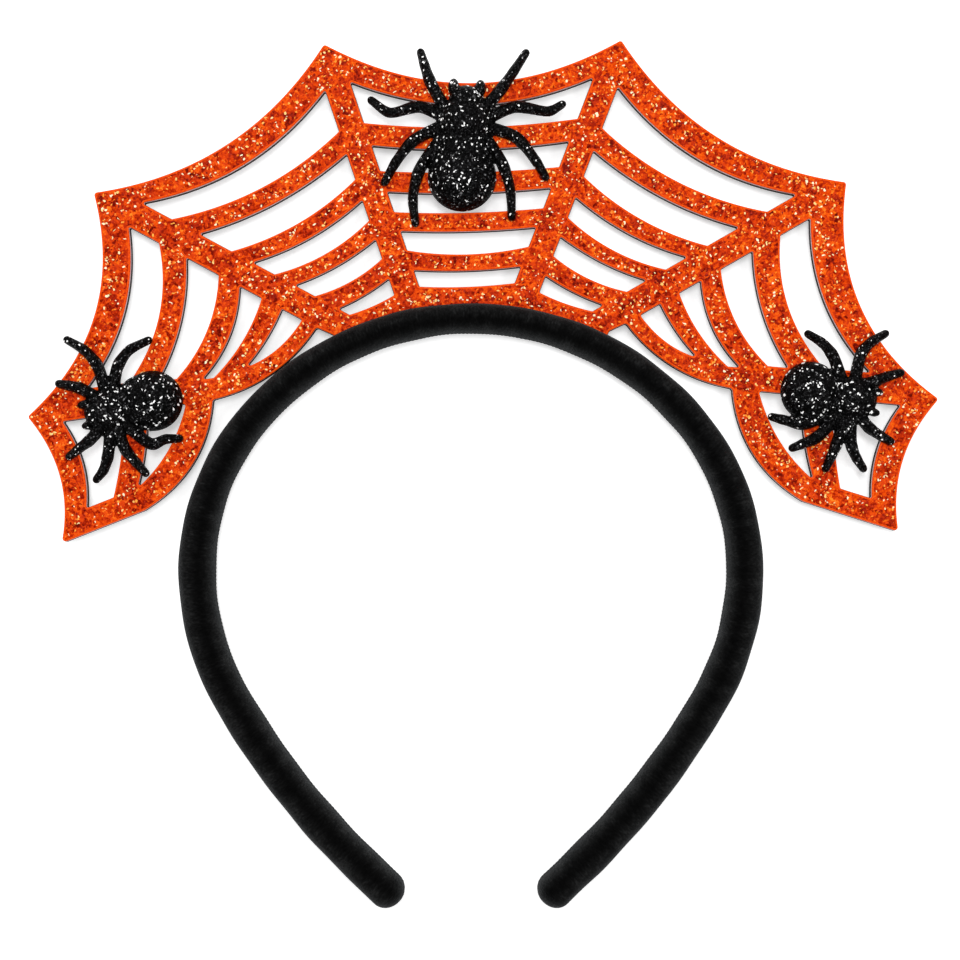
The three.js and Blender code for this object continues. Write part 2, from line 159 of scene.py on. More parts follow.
def inset(loop: Points, distance: float) -> Points:
    """A loop drawn in to its left by one distance, with its corners mitred up to 1.5 times that.

    Each point moves along the mean of its two edges' left normals, lengthened so that both edges move
    by the distance.
    """
    ahead = unit(np.roll(loop, -1, axis=0) - loop)
    behind = np.roll(ahead, 1, axis=0)
    mean = ahead + behind
    mean = unit(np.where(np.linalg.norm(mean, axis=1, keepdims=True) < 1e-6, ahead, mean))
    reach = 1 / np.maximum((mean * ahead).sum(axis=1, keepdims=True), 1 / 1.5)
    return loop + np.stack([-mean[:, 1], mean[:, 0]], axis=1) * reach * distance


# Finishes


class Shading:
    """Node graph of one material, with short ways to add what a finish needs."""

    def __init__(self, name: str) -> None:
        """Starts a material."""
        self.material = bpy.data.materials.new(name)
        self.material.use_nodes = True
        self.tree = self.material.node_tree
        self.tree.nodes.clear()
        self.body = self.add("ShaderNodeBsdfPrincipled")
        self.add("ShaderNodeOutputMaterial", Surface=self.body.outputs[0])

    def fill(self, node: bpy.types.Node, inputs: dict[str | int, Value]) -> bpy.types.Node:
        """Sets inputs of a node.

        Args:
            node: The node.
            inputs: For each input's name or number, an output to join to it or a constant to set on it.

        Returns:
            The same node.
        """
        for key, value in inputs.items():
            if isinstance(value, Socket):
                self.tree.links.new(value, node.inputs[key])
            else:
                node.inputs[key].default_value = value
        return node

    def add(self, kind: str, **inputs: Value) -> bpy.types.Node:
        """Adds a node of one kind and sets inputs of it."""
        return self.fill(self.tree.nodes.new(kind), inputs)

    def place(self, stretch: tuple[float, float, float] = (1, 1, 1), uv: bool = False) -> Socket:
        """Coordinates of the surface, in metres, stretched along their axes.

        Args:
            stretch: Factor for each axis.
            uv: Whether to read the piece's own UV map, and not its object coordinates.

        Returns:
            The coordinates.
        """
        source = self.add("ShaderNodeTexCoord").outputs["UV" if uv else "Object"]
        return self.add("ShaderNodeMapping", Scale=stretch, Vector=source).outputs[0]

    def noise(self, place: Socket, size_mm: float, detail: float = 2, contrast: float = 0.5) -> Socket:
        """Soft noise from 0 to 1, with features of one size."""
        return self.add("ShaderNodeTexNoise", Scale=1 / (size_mm * MM), Detail=detail, Roughness=contrast,
                        Vector=place).outputs["Fac"]

    def flakes(self, place: Socket, size_mm: float) -> Socket:
        """Cells of one size, each with another random colour."""
        return self.add("ShaderNodeTexVoronoi", Scale=1 / (size_mm * MM), Vector=place).outputs["Color"]

    def mix(self, first: Socket, second: Socket, share: float) -> Socket:
        """Two values mixed, with one share of the second."""
        return self.add("ShaderNodeMix", Factor=share, A=first, B=second).outputs["Result"]

    def ramp(self, value: Socket, stops: Stops) -> Socket:
        """Colours along a value.

        Args:
            value: From 0 to 1.
            stops: Each place along the value with its colour, in linear red, green and blue, or its grey.

        Returns:
            The colour.
        """
        node = self.add("ShaderNodeValToRGB", Fac=value)
        elements = node.color_ramp.elements
        while len(elements) < len(stops):
            elements.new(1)
        for element, (place, colour) in zip(elements, stops):
            element.position = place
            element.color = (*np.broadcast_to(colour, 3), 1)
        return node.outputs["Color"]

    def attribute(self, name: str) -> Socket:
        """Value of one of the piece's own attributes."""
        node = self.add("ShaderNodeAttribute")
        node.attribute_name = name
        return node.outputs["Fac"]

    def relief(self, height: Socket, depth_mm: float) -> Socket:
        """Bump of one depth."""
        return self.add("ShaderNodeBump", Strength=1, Distance=depth_mm * MM, Height=height).outputs["Normal"]

    def vector(self, operation: str, *inputs: Value) -> Socket:
        """Result of vector arithmetic."""
        node = self.add("ShaderNodeVectorMath")
        node.operation = operation
        return self.fill(node, dict(enumerate(inputs))).outputs[0]

    def tilt(self, colour: Socket, amount: float) -> Socket:
        """The surface's normal tipped by a random colour: each channel less a half, times the amount."""
        middle = self.vector("SUBTRACT", colour, (0.5, 0.5, 0.5))
        normal = self.add("ShaderNodeNewGeometry").outputs["Normal"]
        return self.vector("NORMALIZE", self.vector("MULTIPLY_ADD", middle, (amount,) * 3, normal))

    def dress(self, **inputs: Value) -> bpy.types.Material:
        """Sets the main shader's inputs and gives back the material.

        Args:
            inputs: An output or a constant for each, with _ for a space in the inputs' names.

        Returns:
            The finished material.
        """
        self.fill(self.body, {key.replace("_", " ").title().replace("Ior", "IOR"): value
                              for key, value in inputs.items()})
        return self.material


@dataclass(frozen=True)
class Velvet:
    """Black pile with a dull sheen where it is seen aslant, and a strip of painted shade along the middle of
    its upper face.
    """

    pile_mm: float = 0.5
    pile_depth_mm: float = 0.3
    brushed_mm: float = 3.0
    brushed_share: float = 0.4
    # Share of the painted shade strip in the value that picks the black.
    face_shade_share: float = 0.25
    stops: Stops = ((0.43, 0.0006), (0.52, 0.0018), (0.6, (0.0046, 0.0047, 0.0047)),
                    (0.7, (0.0155, 0.0158, 0.0158)))

    def material(self) -> bpy.types.Material:
        """Builds the material, which reads UVs of metres along and round the band.

        The value that picks the black is fine pile noise, stretched round the band, mixed with slow brush
        marks and with a point attribute that is low along a strip of painted shade on the upper face.
        """
        shade = Shading("band_velvet")
        pile = shade.noise(shade.place((1, 0.4, 1), uv=True), self.pile_mm, 4, 0.7)
        brushed = shade.noise(shade.place((1, 0.35, 1), uv=True), self.brushed_mm, 3, 0.6)
        marks = shade.mix(pile, brushed, self.brushed_share)
        # Mixes in the painted shade: a darker strip along the band's upper face.
        value = shade.mix(marks, shade.attribute("unshaded"), self.face_shade_share)
        relief = shade.relief(pile, self.pile_depth_mm)
        return shade.dress(base_color=shade.ramp(value, self.stops), normal=relief,
                           roughness=0.95, specular_ior_level=0.04, sheen_weight=0.14, sheen_roughness=0.4,
                           sheen_tint=(0.55, 0.58, 0.6, 1))


@dataclass(frozen=True)
class Grained:
    """Finish whose colour varies with a fine grain that stands up a little."""

    name: str
    grain_mm: float
    stops: Stops
    depth_mm: float
    roughness: float
    specular: float
    detail: float = 2
    contrast: float = 0.5
    sheen: float = 0.0

    def material(self) -> bpy.types.Material:
        """Builds the material."""
        shade = Shading(self.name)
        grain = shade.noise(shade.place(), self.grain_mm, self.detail, self.contrast)
        colour = shade.ramp(grain, self.stops)
        relief = shade.relief(grain, self.depth_mm)
        return shade.dress(base_color=colour, normal=relief, sheen_weight=self.sheen,
                           roughness=self.roughness, specular_ior_level=self.specular)


# Dark felt with short matted fibres.
FELT = Grained("web_felt", 0.4, ((0.3, (0.006, 0.004, 0.004)), (0.7, (0.02, 0.016, 0.015))), 0.1,
               roughness=0.95, specular=0.1, detail=4, contrast=0.65, sheen=0.1)
# Even orange where the cutter has pressed the sheet's edge and wiped its glitter off.
ORANGE_RIM = Grained("orange_rim", 0.5, ((0.35, (0.72, 0.05, 0.001)), (0.65, (0.9, 0.1, 0.003))), 0.03,
                     roughness=0.5, specular=0.05)
# Pale greyish pink of the soft sheet's cut edge.
CUT_FOAM = Grained("cut_foam", 0.25, ((0.3, (0.62, 0.44, 0.45)), (0.7, (0.86, 0.7, 0.71))), 0.05,
                   roughness=0.85, specular=0.2, detail=3)


@dataclass(frozen=True)
class OrangeGlitter:
    """Orange flakes pressed flat and close, darker in patches, under the loose flakes, with painted glints in
    the lightest cells.
    """

    flake_mm: float = 0.85
    dust_mm: float = 0.42
    dust_share: float = 0.4
    patch_mm: float = 3.2
    patch_share: float = 0.5
    uneven: float = 0.5
    # The lightest stops are painted glints of flakes that catch the light.
    stops: Stops = ((0.32, (0.14, 0.003, 0.0002)), (0.42, (0.38, 0.014, 0.0004)),
                    (0.54, (0.66, 0.044, 0.0008)), (0.64, (0.82, 0.09, 0.002)), (0.76, (0.98, 0.26, 0.02)))

    def material(self) -> bpy.types.Material:
        """Builds the material: cells of two sizes and a soft patchiness choose the colour, and the lightest
        colours paint glints.
        """
        shade = Shading("orange_glitter")
        place = shade.place()
        flakes = shade.flakes(place, self.flake_mm)
        grains = shade.mix(flakes, shade.flakes(place, self.dust_mm), self.dust_share)
        value = shade.mix(grains, shade.noise(place, self.patch_mm, 3, 0.6), self.patch_share)
        return shade.dress(base_color=shade.ramp(value, self.stops), normal=shade.tilt(flakes, self.uneven),
                           roughness=0.45, specular_ior_level=0.03)


@dataclass(frozen=True)
class BlackGlitter:
    """Black moulding covered in black flakes, a few of them with painted glints."""

    flake_mm: float = 0.5
    dust_mm: float = 0.3
    dust_share: float = 0.55
    uneven: float = 0.9
    # The grey top stop paints glints on a few cells.
    stops: Stops = ((0.3, 0.0004), (0.6, 0.0022), (0.76, (0.016, 0.016, 0.017)), (0.86, (0.22, 0.22, 0.225)))

    def material(self) -> bpy.types.Material:
        """Builds the material: nearly all cells are black, and a few are grey, which paint glints."""
        shade = Shading("black_glitter")
        place = shade.place()
        dust = shade.flakes(place, self.dust_mm)
        glint_pick = shade.mix(shade.flakes(place, self.flake_mm), dust, self.dust_share)
        return shade.dress(base_color=shade.ramp(glint_pick, self.stops), normal=shade.tilt(dust, self.uneven),
                           roughness=0.4, specular_ior_level=0.035)


@dataclass(frozen=True)
class LooseFlakes:
    """Glitter flakes that stand on a surface, each coloured by its tone from 0 to 1, whose highest tones are
    painted glints.
    """

    name: str
    stops: Stops
    roughness: float = 0.25

    def material(self) -> bpy.types.Material:
        """Builds the material, which reads the flakes' own tone attribute."""
        shade = Shading(self.name)
        return shade.dress(base_color=shade.ramp(shade.attribute("tone"), self.stops),
                           roughness=self.roughness, specular_ior_level=0.05)


@dataclass(frozen=True)
class PaleFloor:
    """Matt white light table, faintly lit from below."""

    stain_mm: float = 60.0
    glow: float = 0.44

    def material(self) -> bpy.types.Material:
        """Builds the material."""
        shade = Shading("pale_floor")
        stains = shade.noise(shade.place(), self.stain_mm)
        return shade.dress(base_color=shade.ramp(stains, ((0.3, 0.9), (0.7, 0.93))), roughness=0.7,
                           specular_ior_level=0.1, emission_color=(1, 1, 1, 1), emission_strength=self.glow)


# Loose glitter


def swarm(places: Points, waves: tuple[float, float, float]) -> np.ndarray:
    """Waves from -1 to 1 over places, which gather flakes in swarms."""
    x, y = places.T
    return np.sin(x * waves[0] + 2 * np.sin(y * waves[1])) * np.sin(y * waves[2] + 1)


def either(rng: np.random.Generator, picked: np.ndarray, these: tuple[float, float],
           others: tuple[float, float]) -> np.ndarray:
    """Random values, from one range where picked and from another elsewhere."""
    return np.where(picked, rng.uniform(*these, len(picked)), rng.uniform(*others, len(picked)))


@dataclass
class Flakes:
    """Flat five-sided flakes scattered over a surface.

    Each flake is a ring of five points about its centre, at a long and a wide radius along two
    directions square to its own normal, closed by a low point above and below.
    """

    sides: int = 5
    thickness_mm: float = 0.05
    uneven_turn: float = 0.28
    uneven_reach: tuple[float, float] = (0.75, 1.15)

    def build(self, name: str, centres: Points, normals: Points, radii: Points, tone: np.ndarray,
              rng: np.random.Generator) -> Piece:
        """Builds all the flakes as one mesh.

        Args:
            name: The object's name.
            centres: Middle of each flake, in millimetres, n by 3.
            normals: Way each flake faces, n by 3.
            radii: Long and wide radius of each, n by 2.
            tone: Value from 0 to 1 that colours each.
            rng: Source of the turns and of the uneven corners.

        Returns:
            The object, with the tone as a point attribute.
        """
        count, sides = len(centres), self.sides
        spin = rng.uniform(0, 2 * np.pi, count)
        across = unit(np.cross(normals, [0.31, 0.87, 0.38]))
        along = np.cross(normals, across)
        first = np.cos(spin)[:, None] * across + np.sin(spin)[:, None] * along
        second = np.cross(normals, first)
        uneven = rng.uniform(-self.uneven_turn, self.uneven_turn, (count, sides))
        angle = 2 * np.pi * (np.arange(sides) + uneven) / sides
        reach = rng.uniform(*self.uneven_reach, (count, sides))
        ring = (centres[:, None]
                + (np.cos(angle) * reach * radii[:, :1])[..., None] * first[:, None]
                + (np.sin(angle) * reach * radii[:, 1:])[..., None] * second[:, None])
        lift = normals * self.thickness_mm / 2
        points = np.concatenate([ring, (centres + lift)[:, None], (centres - lift)[:, None]], axis=1)
        here = np.arange(sides)
        after = (here + 1) % sides
        top = np.stack([here, after, np.full(sides, sides)], axis=1)
        bottom = np.stack([after, here, np.full(sides, sides + 1)], axis=1)
        each = np.concatenate([top, bottom])
        faces = (each[None] + (np.arange(count) * (sides + 2))[:, None, None]).reshape(-1, 3)
        piece = new_piece(name, points.reshape(-1, 3), faces)
        piece.data.shade_flat()
        set_values(piece, "tone", np.repeat(tone, sides + 2))
        return piece


# The band


@dataclass
class Band:
    """Padded alice band, open at the bottom, with a flat back and a groove that takes the web's foot.

    Its centre line is a row of arcs, each a radius and the degrees it sweeps, and its section is an oval
    cut level at the back. A strip of painted shade runs along its upper face: how dark, how far across
    and how broad.
    """

    arcs: tuple[tuple[float, float], ...] = ((71.5, 50), (58.6, 42), (64.5, 28), (190, 16))
    foot: float = 13.1
    crown_thickness: float = 7.5
    side_thickness: float = 8.8
    padding: float = 0.35
    depth: float = 12.0
    back_cut: float = 0.82
    back_round: float = 0.03
    crest_drop: float = 0.05
    oval_power: float = 0.87
    groove_half_angle: float = 27.3
    groove_lean: float = 0.8
    lip_margin: float = 0.07
    groove_floor: float = 0.45
    groove_lips: tuple[float, float, float, float] = (4.0, 4.15, 7.85, 8.0)
    step: float = 0.3
    sides: int = 44
    pucker_pitch: float = 1.05
    pucker_height: float = 0.07
    # Strip of painted shade on the velvet: its depth, its place across and its breadth.
    face_shade: tuple[float, float, float] = (0.6, -0.2, 0.38)

    @property
    def crown_radius(self) -> float:
        """Radius of the crown's arc."""
        return self.arcs[0][0]

    def stations(self) -> tuple[np.ndarray, Points, np.ndarray, np.ndarray]:
        """Walks the centre line from the left tip to the right tip.

        The heading falls evenly along each arc, and the places are its cosine and sine summed along
        the way. In the last stretch at each tip the section shrinks as the cosine of an angle whose
        sine is the way gone.

        Returns:
            Way along from the crown, places (n by 2), headings in radians, and shrinks.
        """
        lengths = [math.radians(sweep) * radius for radius, sweep in self.arcs]
        knots = np.cumsum([0, *lengths, self.foot])
        turns = np.radians(np.cumsum([0, *(sweep for _, sweep in self.arcs)]))
        headings = -np.array([*turns, turns[-1]])
        tip = self.side_thickness / 2
        straight = knots[-1] - tip
        even = np.linspace(0, straight, round(straight / self.step))
        closing = np.radians(np.linspace(0, 89, 16)[1:])
        way = np.concatenate([even, straight + tip * np.sin(closing)])
        shrink = np.concatenate([np.ones(len(even)), np.cos(closing)])
        fine = np.linspace(0, knots[-1], 20001)
        heading = np.interp(fine, knots, headings)
        gap = fine[1] - fine[0]
        ahead = np.stack([np.cos(heading), np.sin(heading)])
        gone = np.pad(np.cumsum((ahead[:, 1:] + ahead[:, :-1]) * gap / 2, axis=1), ((0, 0), (1, 0)))
        place = np.stack([np.interp(way, fine, axis) for axis in gone], axis=1)
        aim = np.interp(way, knots, headings)
        halves = ((way, -1), (place, [-1, 1]), (aim, -1), (shrink, 1))
        return tuple(np.concatenate([half[:0:-1] * sign, half]) for half, sign in halves)

    def section_angles(self) -> np.ndarray:
        """Angles round the section: even ones, and four at the groove's lips on the outer side."""
        half = self.depth / (1 + self.back_cut)
        up = (np.array(self.groove_lips) - half * self.back_cut) / half
        lips = np.arcsin(np.sign(up) * np.abs(up) ** (1 / self.oval_power))
        even = np.linspace(-np.pi, np.pi, self.sides, endpoint=False) + np.pi / self.sides
        far = np.abs(even[:, None] - lips[None]).min(axis=1) > math.radians(2)
        return np.sort(np.concatenate([even[far], lips]))

    def surface(self) -> tuple[Points, np.ndarray, np.ndarray, np.ndarray]:
        """Works out the cover: at each station, each angle gives a place across and up.

        Across is half the thickness times a power of the angle's cosine, and up is half the height
        times a power of its sine, softly kept from going under the flat back. The inner side has fine
        puckers along the way, the whole cover has slow dents, and the groove's part of the outer side
        is drawn in to the groove's floor.

        Returns:
            Points (stations by sides by 3), way along and way round in millimetres, and from 0 to 1 how
            little painted shade darkens the velvet at each angle.
        """
        way, place, heading, shrink = self.stations()
        angle = self.section_angles()
        round_ = np.stack([np.cos(angle), np.sin(angle)])
        wide, high = np.sign(round_) * np.abs(round_) ** self.oval_power
        half = self.depth / (1 + self.back_cut)
        above = high + self.back_cut
        high = (above + np.sqrt(above ** 2 + self.back_round ** 2)) / 2 - self.back_cut
        share = np.minimum(1, np.abs(heading) / (np.pi / 2))
        thick = self.crown_thickness + (self.side_thickness - self.crown_thickness) * share
        inner = np.clip(-wide, 0, 1) ** 1.5 * np.clip(1 - np.abs(high), 0, 1)
        pucker = self.pucker_height * np.cos(2 * np.pi * way / self.pucker_pitch + 1.5 * np.sin(way / 7.3))
        dents = 0.06 * np.sin(way / 4.1 + 1.1 * np.sin(way / 9.7)) + 0.05 * np.sin(way / 2.3 + 2)
        across = np.outer(shrink * thick, wide) / 2
        across += np.outer(self.padding * share * shrink, np.clip(wide, 0, 1))
        across += np.outer(dents * shrink, np.abs(wide) * wide) - np.outer(pucker * shrink, inner)
        up = half * (self.back_cut + np.outer(shrink, high))
        up += np.outer(dents * shrink, np.clip(high, 0, 1) ** 2) / 2 - self.crest_drop * (high > 0.9)
        up = np.maximum(up, 0)
        turned = np.degrees(way / self.crown_radius) + self.groove_lean
        low, top = self.groove_lips[0] + self.lip_margin, self.groove_lips[-1] - self.lip_margin
        in_groove = (np.abs(turned) < self.groove_half_angle)[:, None] & (up > low) & (up < top) & (wide > 0)
        across = np.where(in_groove, np.minimum(across, self.groove_floor), across)
        out = np.stack([-np.sin(heading), np.cos(heading)], axis=1)
        flat = place[:, None] + across[..., None] * out[:, None]
        points = np.concatenate([flat, up[..., None]], axis=2)
        girth = np.cumsum(np.concatenate([[0], np.hypot(np.diff(wide * 4), np.diff(high * half))]))
        # Painted shade: a darker strip along the band's upper face, slightly towards its inner side.
        depth, at, breadth = self.face_shade
        unshaded = 1 - depth * np.exp(-((wide - at) / breadth) ** 2) * (high > 0)
        return points, way, girth, unshaded

    def build(self) -> Piece:
        """Builds the cover with a UV map in metres along and round it, and closes its tips."""
        points, way, girth, unshaded = self.surface()
        rows, columns = points.shape[:2]
        piece = new_piece("band_cover", *tube(points, turned=True))
        along = np.concatenate([np.repeat(way, columns), way[[0, -1]]])
        around = np.concatenate([np.tile(girth, rows), [0, 0]])
        mesh = piece.data
        corner = np.empty(len(mesh.loops), dtype=np.int32)
        mesh.loops.foreach_get("vertex_index", corner)
        layer = mesh.uv_layers.new(name="cover")
        layer.data.foreach_set("uv", np.stack([along, around], axis=1)[corner].ravel() * MM)
        # The painted shade strip goes to the velvet as a point attribute.
        set_values(piece, "unshaded", np.concatenate([np.tile(unshaded, rows), [1, 1]]))
        piece.data.materials.append(Velvet().material())
        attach(piece, "root")
        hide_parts("headband")
        return piece


# The web


@dataclass(frozen=True)
class Ring:
    """Where a gap starts and ends, as shares of a spoke's length from its tip.

    It has a half width of its own where the spoke has one there. Its skew puts the gap farther in on the
    right and farther out on the left.
    """

    outer: float
    inner: float
    half_width: float | None = None
    skew: float = 0.0


@dataclass(frozen=True)
class Spoke:
    """One spoke of one half of the web.

    Tips are shares of the half span and the rise. A foot is an angle from the crown's middle, or an end
    is a second point. Skews move the tip and the foot to the right on both halves, and the lift puts the
    right tip higher and the left one lower. Half widths are shares of the width.
    """

    tip: tuple[float, float]
    tip_skew: float
    width: float
    above: float
    below: float
    rings: tuple[Ring, ...]
    tip_lift: float = 0.0
    foot: float = 0.0
    foot_skew: float = 0.0
    end: tuple[float, float] | None = None
    wing_rings: tuple[Ring, ...] = ()


@dataclass(frozen=True)
class Corner:
    """Corner of a loop: its place, the sag of the edge that leaves it, its round, and an arc if one does."""

    at: Points
    sag: float = 0.0
    round: float = 0.0
    arc: tuple[float, float] | None = None


@dataclass
class Web:
    """Pierced web of a glitter sheet on felt. Its foot is let into the groove of the band's crown.

    Its edges are parabolas between corners that lie on the spokes, hanging towards the crown by a share
    of their chords.
    """

    band: Band
    half_span: float = 113.9
    rise: float = 68.9
    lean: float = 0.8
    tip_round: float = 0.8
    let_in: float = 3.0
    tongue_half_angle: float = 27.0
    tongue_shoulder: float = 0.8
    backing_back: float = 4.35
    backing_front: float = 6.15
    face_back: float = 6.2
    face_front: float = 7.65
    rim: float = 0.5
    step: float = 0.7
    round_step: float = 16.0
    tongue_points: int = 90
    crown: Spoke = Spoke(
        tip=(0.326, 1), tip_skew=0.012, foot=9.6, foot_skew=-1, width=6.6, above=0.47, below=0.515,
        rings=(Ring(0.148, 0.296), Ring(0.376, 0.468), Ring(0.542, 0.615), Ring(0.683, 0.752),
               Ring(0.823, 0.882)))
    shoulder: Spoke = Spoke(
        tip=(0.826, 0.473), tip_skew=0.002, foot=21.5, width=6.6, above=0.515, below=0.5,
        rings=(Ring(0.154, 0.265, skew=0.003), Ring(0.366, 0.485, skew=0.004), Ring(0.56, 0.641, skew=0.002),
               Ring(0.713, 0.787), Ring(0.873, 0.914)))
    side: Spoke = Spoke(
        tip=(1, -0.327), tip_skew=0.024, tip_lift=0.009, foot=36.4, foot_skew=-0.5, width=6.6, above=0.636,
        below=0.364, rings=(Ring(0.229, 0.387, 0.742, 0.003), Ring(0.496, 0.566, 0.62, 0.01),
                            Ring(0.656, 0.699, 0.455, 0.01), Ring(0.809, 0.809, 0.667, 0.001)),
        wing_rings=(Ring(0.123, 0.352), Ring(0.446, 0.587, skew=0.011)))
    rail: Spoke = Spoke(
        tip=(0.918, -0.797), tip_skew=0.013, end=(0.722, -0.682), width=5.9, above=1, below=0,
        rings=(Ring(0.38, 0.705, skew=-0.025), Ring(0.99, 0.99, skew=-0.03)))
    crown_sags: tuple[tuple[float, float], ...] = (
        (0.102, 0.03), (0.031, 0.018), (0.02, 0.017), (0.017, 0.047), (0.023, 0.02))
    shoulder_sags: tuple[tuple[float, float], ...] = (
        (0.096, 0.073), (0.055, 0.064), (0.055, 0.067), (0.043, 0.059), (0.032, 0.03))
    side_sags: tuple[tuple[float, float], ...] = ((0.1, 0.105), (0.068, 0.088), (0.088, 0.06), (0.037, 0.077))
    wing_sags: tuple[tuple[float, float], ...] = ((0.086, 0.023), (0.03, 0.074))
    outline_sags: tuple[float, ...] = (0.135, 0.113, 0.148, 0.113, 0, 0.126, 0.095, 0)
    armpit: float = 0.681
    armpit_skew: float = 0.006
    hub: float = 0.84
    backing_margin: float = 0.12
    outer_round: float = 0.35
    inner_round: float = 0.5
    flake_tries: int = 38000
    flake_margin: float = 0.2
    band_margin: float = 0.3
    # Cream flakes are painted glints: their share with its swing, their size and their tones.
    cream_glint_share: tuple[float, float] = (0.42, 0.22)
    cream_glint_mm: tuple[float, float] = (0.17, 0.52)
    orange_mm: tuple[float, float] = (0.2, 0.5)
    cream_glint_tones: tuple[float, float] = (0.58, 1)
    orange_tones: tuple[float, float] = (0, 0.6)

    def crown_point(self, radius: float, degrees: float | np.ndarray) -> Points:
        """Point at a radius and an angle, or points at many, about the centre of the crown's arc."""
        angle = np.radians(degrees)
        return np.stack([radius * np.sin(angle), radius * np.cos(angle) - self.band.crown_radius], axis=-1)

    def spoke_point(self, spoke: Spoke, hand: Hand, at: float, edge: Edge | None = None,
                    half_width: float | None = None) -> Points:
        """Point of a spoke.

        Args:
            spoke: The spoke.
            hand: The half of the web.
            at: Share of the spoke's length from its tip.
            edge: The edge that the point lies on, or None for the middle line.
            half_width: Share of the width, in place of the spoke's own.

        Returns:
            The point, as x and y.
        """
        size = np.array([self.half_span, self.rise])
        tip = (np.array(spoke.tip) + [hand.value * spoke.tip_skew, hand.value * spoke.tip_lift]) * size
        foot = (np.array(spoke.end) * size if spoke.end
                else self.crown_point(self.band.crown_radius, spoke.foot + hand.value * spoke.foot_skew))
        line = foot - tip
        normal = unit(np.array([line[1], -line[0]]))
        offset = 0.0
        if edge is not None:
            own = spoke.above if edge is Edge.ABOVE else spoke.below
            offset = edge.value * spoke.width * (own if half_width is None else half_width)
        return (tip + line * at + normal * offset) * [hand.value, 1]

    def control(self, start: Points, end: Points, sag: float) -> Points:
        """Control point of the parabola between two corners that hangs towards the crown."""
        chord = end - start
        normal = unit(np.array([-chord[1], chord[0]])) if chord.any() else np.zeros(2)
        middle = (start + end) / 2
        return middle - normal * np.sign(normal @ middle) * 2 * sag * np.linalg.norm(chord)

    def trace(self, corners: list[Corner]) -> Points:
        """Draws a loop: parabolas between its corners, and a part of a circle round each corner.

        A parabola is (1 - t) squared times its start, plus 2 t (1 - t) times its control point, plus t
        squared times its end. A corner's circle touches both edges, so it starts before the corner by its
        radius times the tangent of half the turn.

        Args:
            corners: The loop's corners in order.

        Returns:
            The loop's points, n by 2.
        """
        count = len(corners)
        ats = [corner.at for corner in corners]
        controls = [self.control(ats[i], ats[(i + 1) % count], corners[i].sag) for i in range(count)]
        leave = [unit(controls[i] - ats[i]) for i in range(count)]
        arrive = [unit(ats[i] - controls[i - 1]) for i in range(count)]
        chords = [np.linalg.norm(ats[(i + 1) % count] - ats[i]) for i in range(count)]
        bends = [math.atan2(arrive[i][0] * leave[i][1] - arrive[i][1] * leave[i][0], arrive[i] @ leave[i])
                 for i in range(count)]
        slack = [min(corners[i].round * math.tan(abs(bends[i]) / 2), 0.45 * min(chords[i - 1], chords[i]))
                 for i in range(count)]
        parts = []
        for i, corner in enumerate(corners):
            if corner.round:
                steps = max(3, round(abs(math.degrees(bends[i])) / self.round_step))
                angle = np.linspace(0, bends[i], steps, endpoint=False)
                radius = slack[i] / math.tan(abs(bends[i]) / 2) * np.sign(bends[i])
                along = radius * np.sin(angle)[:, None] * arrive[i]
                aside = radius * (1 - np.cos(angle))[:, None] * np.array([-arrive[i][1], arrive[i][0]])
                parts.append(ats[i] - arrive[i] * slack[i] + along + aside)
            else:
                parts.append(ats[i][None])
            if corner.arc:
                radius, half = corner.arc
                parts.append(self.crown_point(radius, np.linspace(-half, half, self.tongue_points)))
                continue
            after = (i + 1) % count
            start, end = ats[i] + leave[i] * slack[i], ats[after] - arrive[after] * slack[after]
            t = np.linspace(0, 1, max(2, round(chords[i] / self.step)), endpoint=False)[:, None]
            t = t if corner.round else t[1:]
            parts.append((1 - t) ** 2 * start + 2 * t * (1 - t) * controls[i] + t ** 2 * end)
        return np.vstack(parts)

    def outline(self) -> Points:
        """The web's outer edge, anticlockwise: down the left side, along the tongue, up the right side."""
        def side(hand: Hand) -> list[Points]:
            """Corners down one side, from the crown spoke's tip to the band's surface."""
            surface = self.band.crown_radius + self.band.crown_thickness / 2 + self.tongue_shoulder
            return [
                self.spoke_point(self.crown, hand, 0), self.spoke_point(self.shoulder, hand, 0),
                self.spoke_point(self.side, hand, 0), self.spoke_point(self.rail, hand, 0),
                self.spoke_point(self.rail, hand, 1),
                self.spoke_point(self.side, hand, self.armpit + hand.value * self.armpit_skew, Edge.BELOW),
                self.spoke_point(self.shoulder, hand, self.hub, Edge.BELOW),
                self.crown_point(surface, hand.value * self.tongue_half_angle),
            ]

        sags, rounds = self.outline_sags, (self.tip_round,) * 7 + (0,)
        tongue = self.band.crown_radius + self.band.crown_thickness / 2 - self.let_in
        left = [Corner(*corner) for corner in zip(side(Hand.LEFT), (*sags[1:], 0), rounds)]
        left[-1] = Corner(left[-1].at, arc=(tongue, self.tongue_half_angle))
        right = [Corner(*corner) for corner in zip(side(Hand.RIGHT), sags, rounds)]
        return self.trace([*left, *reversed(right)])

    def gap(self, first: tuple, second: tuple, sags: tuple[float, float]) -> Points:
        """Edge of a gap between two spokes.

        Args:
            first: Spoke, half, edge and ring on one side of the gap.
            second: The same on its other side. A ring of no width brings the gap to a point there.
            sags: Shares by which its outer and inner edges hang.

        Returns:
            The gap's edge, clockwise.
        """
        def at(end: int, spoke: Spoke, hand: Hand, edge: Edge, ring: Ring) -> Points:
            """Corner at the outer or inner end of a ring."""
            share = (ring.outer, ring.inner)[end] + hand.value * ring.skew
            return self.spoke_point(spoke, hand, share, edge, ring.half_width)

        outer, inner = self.outer_round, self.inner_round
        corners = [Corner(at(0, *first), sags[0], outer), Corner(at(0, *second), 0, outer),
                   Corner(at(1, *second), sags[1], inner), Corner(at(1, *first), 0, inner)]
        if second[3].outer == second[3].inner:
            corners[1:3] = [Corner(corners[2].at, sags[1], outer)]
        loop = self.trace(corners)
        area = (loop[:, 0] * np.roll(loop[:, 1], -1) - np.roll(loop[:, 0], -1) * loop[:, 1]).sum()
        return loop[::-1] if area > 0 else loop

